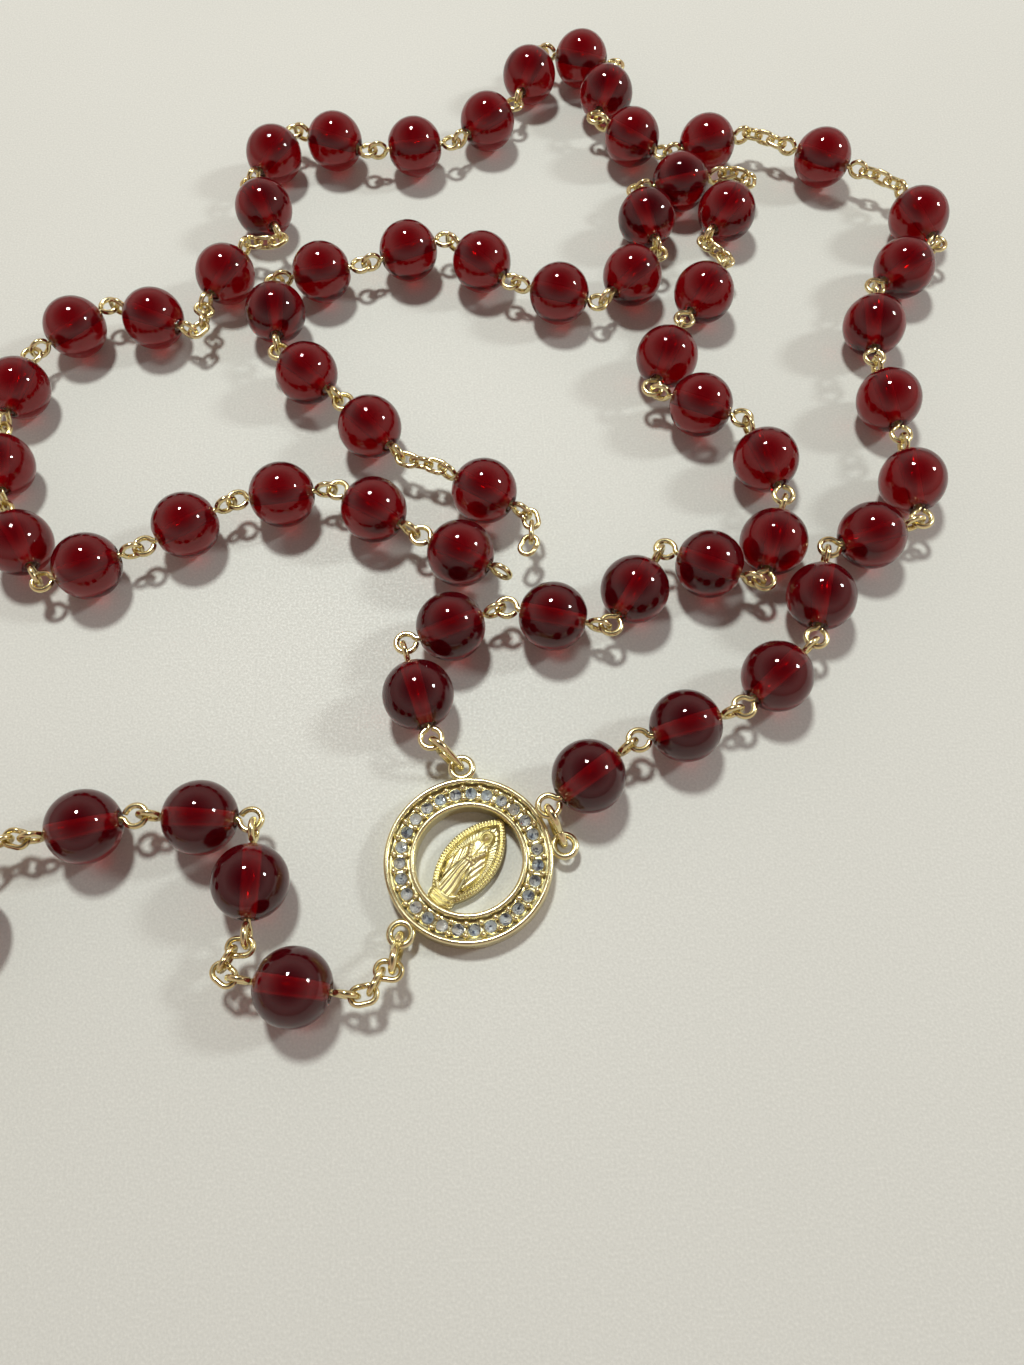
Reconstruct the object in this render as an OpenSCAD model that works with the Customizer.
// Five-decade rosary of wire-linked glass beads with a stone-set centre medal and a crucifix.
// It lies on a table at z = 0. The origin is the middle of the medal's flat back, +Z is up,
// and every bead's pin is level at the height of a bead's centre.

/* [Beads] */
// Diameter of a glass bead
bead_d = 8; // [7.6:0.1:8.2]
// Length of a bead between the two flats at its hole
bead_len = 7.6; // [7.2:0.1:7.8]
// Diameter of the hole through a bead
bore_d = 1.3; // [1:0.05:1.5]

/* [Eye pins] */
// Wire diameter of an eye pin
pin_wire = 0.66; // [0.54:0.02:0.7]
// Radius of an eye, measured to the middle of its wire
eye_r = 1.15; // [1.1:0.05:1.3]
// Free length between a bead's flat and the eye beside it
eye_play = 0.15; // [0.1:0.05:0.4]
// Angle left open where an eye's loop comes back to its stem
eye_opening = 22; // [15:1:40]

/* [Chains] */
// Wire diameter of a chain link
link_wire = 0.6; // [0.5:0.02:0.62]
// Radius of a link's round ends, measured to the middle of its wire
link_r = 0.85; // [0.82:0.01:0.95]
// Length of a link's straight sides
link_straight = 0.9; // [0.6:0.1:1.2]
// Clearance between two wires that hook into each other
link_play = 0.12; // [0.08:0.01:0.2]

/* [Jump rings] */
// Wire diameter of the heavy rings at the medal and the crucifix
ring_wire = 0.8; // [0.7:0.02:0.84]
// Radius of a jump ring's round ends, measured to the middle of its wire
ring_r = 1.15; // [1.14:0.01:1.25]
// Length of a jump ring's straight sides
ring_straight = 2.6; // [2.4:0.1:3.2]

/* [Medal] */
// Outer diameter of the medal's round frame
medal_d = 18; // [17:0.5:20]
// Diameter of the open middle
medal_hole_d = 11.4; // [11.2:0.1:11.8]
// Thickness of the frame
medal_h = 2.4; // [2.2:0.1:2.8]
// Number of stones set round the frame
stone_count = 27; // [24:1:29]
// Diameter of a stone
stone_d = 1.25; // [1:0.05:1.3]

/* [Lugs] */
// Diameter of a lug on the medal or the crucifix
lug_d = 3.1; // [3:0.05:3.3]
// Diameter of a lug's hole
lug_hole_d = 1.6; // [1.5:0.05:1.7]
// Thickness of a lug
lug_h = 0.8; // [0.6:0.05:0.9]

/* [Crucifix] */
// Height of the crucifix without its lug
cross_len = 38; // [34:1:44]
// Span of the crucifix's arms
cross_span = 21; // [19:1:24]
// Width of the crucifix's bars
cross_bar = 4; // [3.4:0.2:4.6]
// Thickness of the crucifix's bars
cross_h = 2.2; // [2:0.1:2.6]

/* [Hidden] */
$fn = 48;
eps = 0.01;
bury = 0.05;
glass_colour = [0.55, 0.02, 0.07, 0.85];
gold_colour = [0.83, 0.7, 0.42];
stone_colour = [0.88, 0.92, 0.97];

strand_z = bead_d / 2;
beads_per_decade = 10;
beads_per_half = beads_per_decade / 2;
links_per_chain = 3;
halves = ["a", "b"];
drop_names = ["our_father", "hail_mary_1", "hail_mary_2", "hail_mary_3", "last_our_father"];

// Pin: middle of the bead to the middle of an eye, and wire to wire over the whole pin
eye_at = bead_len / 2 + eye_play + eye_r + pin_wire / 2;
pin_reach = 2 * (eye_at + eye_r);
stem_d = pin_wire - 0.06;
link_reach = 2 * link_r + link_straight;
link_bar_wire = link_wire - 0.04;
ring_bar_wire = ring_wire - 0.04;

// Medal
medal_r = medal_d / 2;
rim_w = 0.6;
rim_edge = 0.2;
channel_in_r = medal_hole_d / 2 + rim_w;
channel_out_r = medal_r - rim_w;
channel_z = medal_h - 0.8;
stone_circle_r = (channel_in_r + channel_out_r) / 2;
stone_girdle_z = medal_h - 0.75;
seat_d = stone_d + 0.08;
seat_depth = 0.8;
prong_r = 0.24;
prong_spread = 0.6;
prong_top = medal_h - 0.15;
lug_z = medal_h - lug_h / 2 - 0.3;
lug_at = medal_r + lug_d / 2 - 0.25;
lug_wall_at = (lug_d + lug_hole_d) / 4;
figure_up = 50;

// A jump ring leans from a lug's wall up to the strand. Its two ends sit a little off the wires
// that they hold.
ring_seat = 0.1;
ring_hook = 0.3;
ring_slope = asin((strand_z - lug_z) / (ring_straight + ring_seat + ring_hook));
ring_hook_run = (ring_straight + ring_seat + ring_hook) * cos(ring_slope);
ring_pivot_run = (ring_straight + ring_seat) * cos(ring_slope)
    + sqrt(pow(ring_r, 2) - pow(ring_hook * sin(ring_slope), 2));

// Headings on the table, in degrees from +X: the way each pin or link points, going away from the medal
lug_right = 6;
lug_left = 93;
lug_drop = 226;
ring_right = 115;
ring_left = 140;
ring_drop = 262;
decade_1 = [35, 15, 40, 75, 15, 90, 95, 80, 35, 105];
chain_1_near = [145, 140, 155];
our_father_1 = [150];
chain_1_far = [140, 150, 160];
decade_2 = [-165, 140, 70, 160, -110, -140, -175, 155, -120, -65];
chain_2_near = [-140, 180, 160];
our_father_2 = [-115];
chain_2_far = [-45, -100, -130];
decade_3 = [155, -140, -100, -80, -60, 20, 30, 5, -35, -30];
decade_5 = [105, 20, -15, 55, -25, 70, 105, 155, 65, 55];
chain_4_near = [110, 130, 120];
our_father_4 = [55];
chain_4_far = [80, 150, -160];
decade_4 = [-170, -80, -135, 160, 135, -160, -170, -85, -45, -50];
chain_3_near = [-25, -15, -25];
our_father_3 = [-35];
chain_3_far = [-80, -95, -120];
drop_chain_1 = [170, -120, -170];
drop_our_father = [170];
drop_chain_2 = [140, 60, 0];
drop_hail_marys = [90, 175, -170];
drop_chain_3 = [165, -160, -130];
drop_last = [-100];
drop_chain_4 = [-105, -100, -110];

function unit(heading) = [cos(heading), sin(heading)];
function at_height(point, z) = [point.x, point.y, z];
function slice(list, from, count) = [for (i = [from:from + count - 1]) list[i]];
function pins(headings) = [for (h = headings) ["pin", h]];
function links(headings) = [for (h = headings) ["link", h]];
function reach_of(kind) = kind == "pin" ? pin_reach : link_reach;
function wire_of(kind) = kind == "pin" ? pin_wire : link_wire;
function lug_centre(lug) = lug_at * unit(lug);
function lug_wall(lug, heading) = lug_centre(lug) + lug_wall_at * unit(heading);

// Distance between the middles of two wires that hook into each other
function hooked(kind, wire_before) = (wire_before + wire_of(kind)) / 2 + link_play;

// Places a route's pins and links one after the other. Hooked wires always cross at right angles,
// so a piece whose end stands upright is followed by one that lies flat. Each result holds
// [kind, heading, middle, first end upright, last end upright, first wire, last wire].
function walk(route, wire_at, gap, last_heading, upright, i = 0) =
    i == len(route) ? [] :
    let (
        kind = route[i][0],
        heading = route[i][1],
        start = wire_at - gap * unit(upright ? heading : last_heading),
        stop = start + reach_of(kind) * unit(heading),
        upright_first = !upright,
        upright_last = kind == "pin" ? true : upright_first,
        next_gap = i + 1 < len(route) ? hooked(route[i + 1][0], wire_of(kind)) : 0
    )
    concat(
        [[kind, heading, (start + stop) / 2, upright_first, upright_last, start, stop]],
        walk(route, stop, next_gap, heading, upright_last, i + 1)
    );
function strand_from(lug, ring, route) =
    walk(
        route,
        lug_wall(lug, ring) + ring_pivot_run * unit(ring),
        ring_pivot_run - ring_hook_run,
        ring,
        true
    );

right_side = strand_from(lug_right, ring_right, concat(
    pins(decade_1), links(chain_1_near), pins(our_father_1), links(chain_1_far),
    pins(decade_2), links(chain_2_near), pins(our_father_2), links(chain_2_far),
    pins(decade_3)));
left_side = strand_from(lug_left, ring_left, concat(
    pins(decade_5), links(chain_4_near), pins(our_father_4), links(chain_4_far),
    pins(decade_4), links(chain_3_near), pins(our_father_3), links(chain_3_far)));
drop = strand_from(lug_drop, ring_drop, concat(
    links(drop_chain_1), pins(drop_our_father), links(drop_chain_2), pins(drop_hail_marys),
    links(drop_chain_3), pins(drop_last), links(drop_chain_4)));

// Where the named groups start along each side
first_chain = beads_per_decade;
first_our_father = first_chain + links_per_chain;
far_chain = first_our_father + 1;
next_decade = far_chain + links_per_chain;
decade_items = [
    slice(right_side, 0, beads_per_decade),
    slice(right_side, next_decade, beads_per_decade),
    slice(right_side, 2 * next_decade, beads_per_decade),
    slice(left_side, next_decade, beads_per_decade),
    slice(left_side, 0, beads_per_decade)];
our_father_groups = [
    [right_side, 0], [right_side, next_decade], [left_side, next_decade], [left_side, 0]];
drop_pins = [for (item = drop) if (item[0] == "pin") item];
drop_chain_starts = [0, links_per_chain + 1, 2 * links_per_chain + 4, 3 * links_per_chain + 5];

// The crucifix hangs in line from its ring, which leans down from the last link
cross_heading = drop[len(drop) - 1][1];
cross_ring_heading = cross_heading + 180;
cross_lug_wall = drop[len(drop) - 1][6] + ring_hook_run * unit(cross_heading);
cross_top = cross_lug_wall + (lug_wall_at + lug_d / 2 - 0.25) * unit(cross_heading);
cross_arms_at = cross_len * 0.3;
cross_flare = 1.2;
cross_edge = 0.4;

// ---- Strand pieces, drawn at the origin along +X ----

module along_x(start) {
    translate(start)
        rotate([0, 90, 0])
            children();
}

module on_strand(item) {
    translate(at_height(item[2], strand_z))
        rotate([0, 0, item[1]])
            children();
}

module bead() {
    rotate([0, 90, 0])
        rotate_extrude()
            intersection() {
                circle(d = bead_d);
                translate([bore_d / 2, -bead_len / 2])
                    square([bead_d, bead_len]);
            }
}

module eye(upright) {
    rotate([upright ? 90 : 0, 0, 0])
        rotate([0, 0, 180 - eye_opening / 2])
            rotate_extrude(angle = 360 - eye_opening)
                translate([eye_r, 0])
                    circle(d = pin_wire, $fn = 24);
}

module eye_pin(upright_first, upright_last) {
    stem_len = 2 * (eye_at - eye_r);
    union() {
        rotate([0, 90, 0])
            cylinder(d = stem_d, h = stem_len, center = true, $fn = 24);
        translate([eye_at, 0, 0])
            eye(upright_last);
        rotate([0, 0, 180])
            translate([eye_at, 0, 0])
                eye(upright_first);
    }
}

// Oval wire ring in the XY plane, its near round end centred on the origin
module oval_ring(end_r, straight, wire_d, bar_d) {
    union() {
        rotate([0, 0, 90])
            rotate_extrude(angle = 180)
                translate([end_r, 0])
                    circle(d = wire_d, $fn = 24);
        translate([straight, 0, 0])
            rotate([0, 0, -90])
                rotate_extrude(angle = 180)
                    translate([end_r, 0])
                        circle(d = wire_d, $fn = 24);
        for (side = [-1, 1])
            translate([-bury, side * end_r, 0])
                rotate([0, 90, 0])
                    cylinder(d = bar_d, h = straight + 2 * bury, $fn = 24);
    }
}

module chain_link(upright) {
    rotate([upright ? 90 : 0, 0, 0])
        translate([-link_straight / 2, 0, 0])
            oval_ring(link_r, link_straight, link_wire, link_bar_wire);
}

module jump_ring(wall, heading) {
    color(gold_colour)
        translate(at_height(wall, lug_z))
            rotate([0, -ring_slope, heading])
                translate([ring_seat, 0, 0])
                    rotate([90, 0, 0])
                        oval_ring(ring_r, ring_straight, ring_wire, ring_bar_wire);
}

module beads(items) {
    color(glass_colour)
        for (item = items)
            on_strand(item)
                bead();
}

module eye_pins(items) {
    color(gold_colour)
        for (item = items)
            on_strand(item)
                eye_pin(item[3], item[4]);
}

module chain(items) {
    color(gold_colour)
        for (item = items)
            on_strand(item)
                chain_link(item[3]);
}

// ---- Centre medal ----

module lug() {
    difference() {
        cylinder(d = lug_d, h = lug_h, center = true);
        cylinder(d = lug_hole_d, h = lug_h + 1, center = true);
    }
}

module frame_profile() {
    hole_r = medal_hole_d / 2;
    polygon([
        [hole_r, rim_edge], [hole_r + rim_edge, 0], [medal_r - rim_edge, 0], [medal_r, rim_edge],
        [medal_r, medal_h - rim_edge], [medal_r - rim_edge, medal_h], [channel_out_r, medal_h],
        [channel_out_r, channel_z], [channel_in_r, channel_z], [channel_in_r, medal_h],
        [hole_r + rim_edge, medal_h], [hole_r, medal_h - rim_edge]]);
}

module each_stone() {
    for (k = [0:stone_count - 1])
        rotate([0, 0, (k + 0.5) * 360 / stone_count])
            translate([stone_circle_r, 0, 0])
                children();
}

module prongs() {
    for (k = [0:stone_count - 1])
        for (side = [-1, 1])
            rotate([0, 0, k * 360 / stone_count])
                translate([stone_circle_r + side * prong_spread, 0, channel_z - bury])
                    cylinder(r = prong_r, h = prong_top - channel_z + bury, $fn = 16);
}

module medal_frame() {
    color(gold_colour)
        difference() {
            union() {
                rotate_extrude($fn = 96)
                    frame_profile();
                prongs();
                for (angle = [lug_right, lug_left, lug_drop])
                    translate(at_height(lug_centre(angle), lug_z))
                        rotate([0, 0, angle])
                            lug();
            }
            each_stone()
                translate([0, 0, channel_z - seat_depth])
                    cylinder(d = seat_d, h = medal_h);
        }
}

module medal_stones() {
    crown_h = 0.32;
    girdle_h = 0.14;
    pavilion_h = 0.55;
    table_r = stone_d * 0.28;
    color(stone_colour)
        each_stone()
            translate([0, 0, stone_girdle_z])
                rotate_extrude($fn = 32)
                    polygon([
                        [0, -pavilion_h], [stone_d / 2, 0], [stone_d / 2, girdle_h],
                        [table_r, girdle_h + crown_h], [0, girdle_h + crown_h]]);
}

module almond(half_w, half_l, height) {
    arc_r = (pow(half_l, 2) + pow(half_w, 2)) / (2 * half_w);
    linear_extrude(height)
        intersection_for (side = [-1, 1])
            translate([0, side * (arc_r - half_w)])
                circle(r = arc_r, $fn = 180);
}

// The robed figure stands along +X on an almond of rays, its feet on a small crescent
module medal_figure() {
    half_l = medal_hole_d / 2 - 0.06;
    half_w = 3;
    plate_h = 0.9;
    border_h = 1.25;
    border_w = 0.75;
    robe_z = 0.8;
    hem_x = -3.9;
    waist_x = 0.65;
    head_x = 3.05;
    head_r = 0.8;
    hands_x = 0.4;
    crescent_x = -4.6;
    color(gold_colour)
        rotate([0, 0, figure_up])
            intersection() {
                cylinder(r = half_l, h = medal_h, $fn = 96);
                union() {
                    difference() {
                        almond(half_w, half_l + 0.25, border_h);
                        translate([0, 0, plate_h])
                            almond(half_w - border_w, half_l - 0.6, border_h);
                    }
                    along_x([hem_x, 0, robe_z])
                        cylinder(r1 = 1.35, r2 = 0.95, h = waist_x - hem_x + bury);
                    along_x([waist_x, 0, robe_z])
                        cylinder(r1 = 1.3, r2 = 0.55, h = 1.7);
                    translate([head_x, 0, robe_z + 0.35])
                        sphere(r = head_r);
                    along_x([hands_x, 0, robe_z + 0.95])
                        cylinder(r1 = 0.42, r2 = 0.2, h = 1.4);
                    translate([crescent_x, 0, 0])
                        cylinder(r = 1.55, h = 1.7);
                }
            }
}

// ---- Crucifix ----

module on_cross() {
    translate(at_height(cross_top, 0))
        rotate([0, 0, cross_heading])
            children();
}

module bar_end(x, y) {
    translate([x, y, 0])
        cylinder(d = cross_bar + cross_flare, h = cross_h);
}

module crucifix_cross() {
    end_inset = (cross_bar + cross_flare) / 2;
    arm = cross_span / 2 - end_inset;
    color(gold_colour)
        union() {
            on_cross() {
                translate([end_inset, -cross_bar / 2, 0])
                    cube([cross_len - 2 * end_inset, cross_bar, cross_h]);
                translate([cross_arms_at - cross_bar / 2, -arm, 0])
                    cube([cross_bar, 2 * arm, cross_h]);
                bar_end(end_inset, 0);
                bar_end(cross_len - end_inset, 0);
                bar_end(cross_arms_at, -arm);
                bar_end(cross_arms_at, arm);
            }
            translate(at_height(cross_lug_wall + lug_wall_at * unit(cross_heading), lug_z))
                lug();
        }
}

// A plain small corpus that lies on the face of the cross
module crucifix_corpus() {
    z = cross_h + 0.62;
    head_x = cross_arms_at - 1.3;
    shoulder_x = cross_arms_at + 0.4;
    waist_x = shoulder_x + 5.2;
    feet_x = waist_x + 9.5;
    hand_y = 6.2;
    arm_len = hand_y + 0.8;
    arm_angle = atan((shoulder_x - cross_arms_at) / hand_y);
    color(gold_colour)
        on_cross()
            intersection() {
                translate([0, -cross_span / 2, cross_h + eps])
                    cube([cross_len, cross_span, 4]);
                union() {
                    translate([head_x, 0, z + 0.2])
                        sphere(r = 0.95);
                    along_x([head_x, 0, z])
                        cylinder(r = 0.5, h = shoulder_x - head_x);
                    along_x([shoulder_x - 0.4, 0, z])
                        cylinder(r1 = 1.15, r2 = 0.9, h = waist_x - shoulder_x + 0.8);
                    along_x([waist_x, 0, z])
                        cylinder(r1 = 1.1, r2 = 0.42, h = feet_x - waist_x);
                    for (side = [-1, 1])
                        translate([shoulder_x + 0.2, 0, z])
                            rotate([0, 0, side * (90 + arm_angle)])
                                along_x([0, 0, 0])
                                    cylinder(r1 = 0.62, r2 = 0.4, h = arm_len);
                }
            }
}

// ---- Nodes ----

medal_frame();
medal_stones();
medal_figure();
jump_ring(lug_wall(lug_right, ring_right), ring_right);  // jump_ring_right
jump_ring(lug_wall(lug_left, ring_left), ring_left);  // jump_ring_left
jump_ring(lug_wall(lug_drop, ring_drop), ring_drop);  // jump_ring_drop
for (d = [1:5], h = [0, 1]) {
    items = slice(decade_items[d - 1], h * beads_per_half, beads_per_half);
    beads(items);
    eye_pins(items);
}
for (k = [1:4]) {
    side = our_father_groups[k - 1][0];
    start = our_father_groups[k - 1][1];
    item = side[start + first_our_father];
    beads([item]);
    eye_pins([item]);
    chain(slice(side, start + first_chain, links_per_chain));
    chain(slice(side, start + far_chain, links_per_chain));
}
for (k = [0:len(drop_names) - 1]) {
    beads([drop_pins[k]]);
    eye_pins([drop_pins[k]]);
}
for (k = [1:4])
    chain(slice(drop, drop_chain_starts[k - 1], links_per_chain));
jump_ring(cross_lug_wall, cross_ring_heading);  // crucifix_ring
crucifix_cross();
crucifix_corpus();
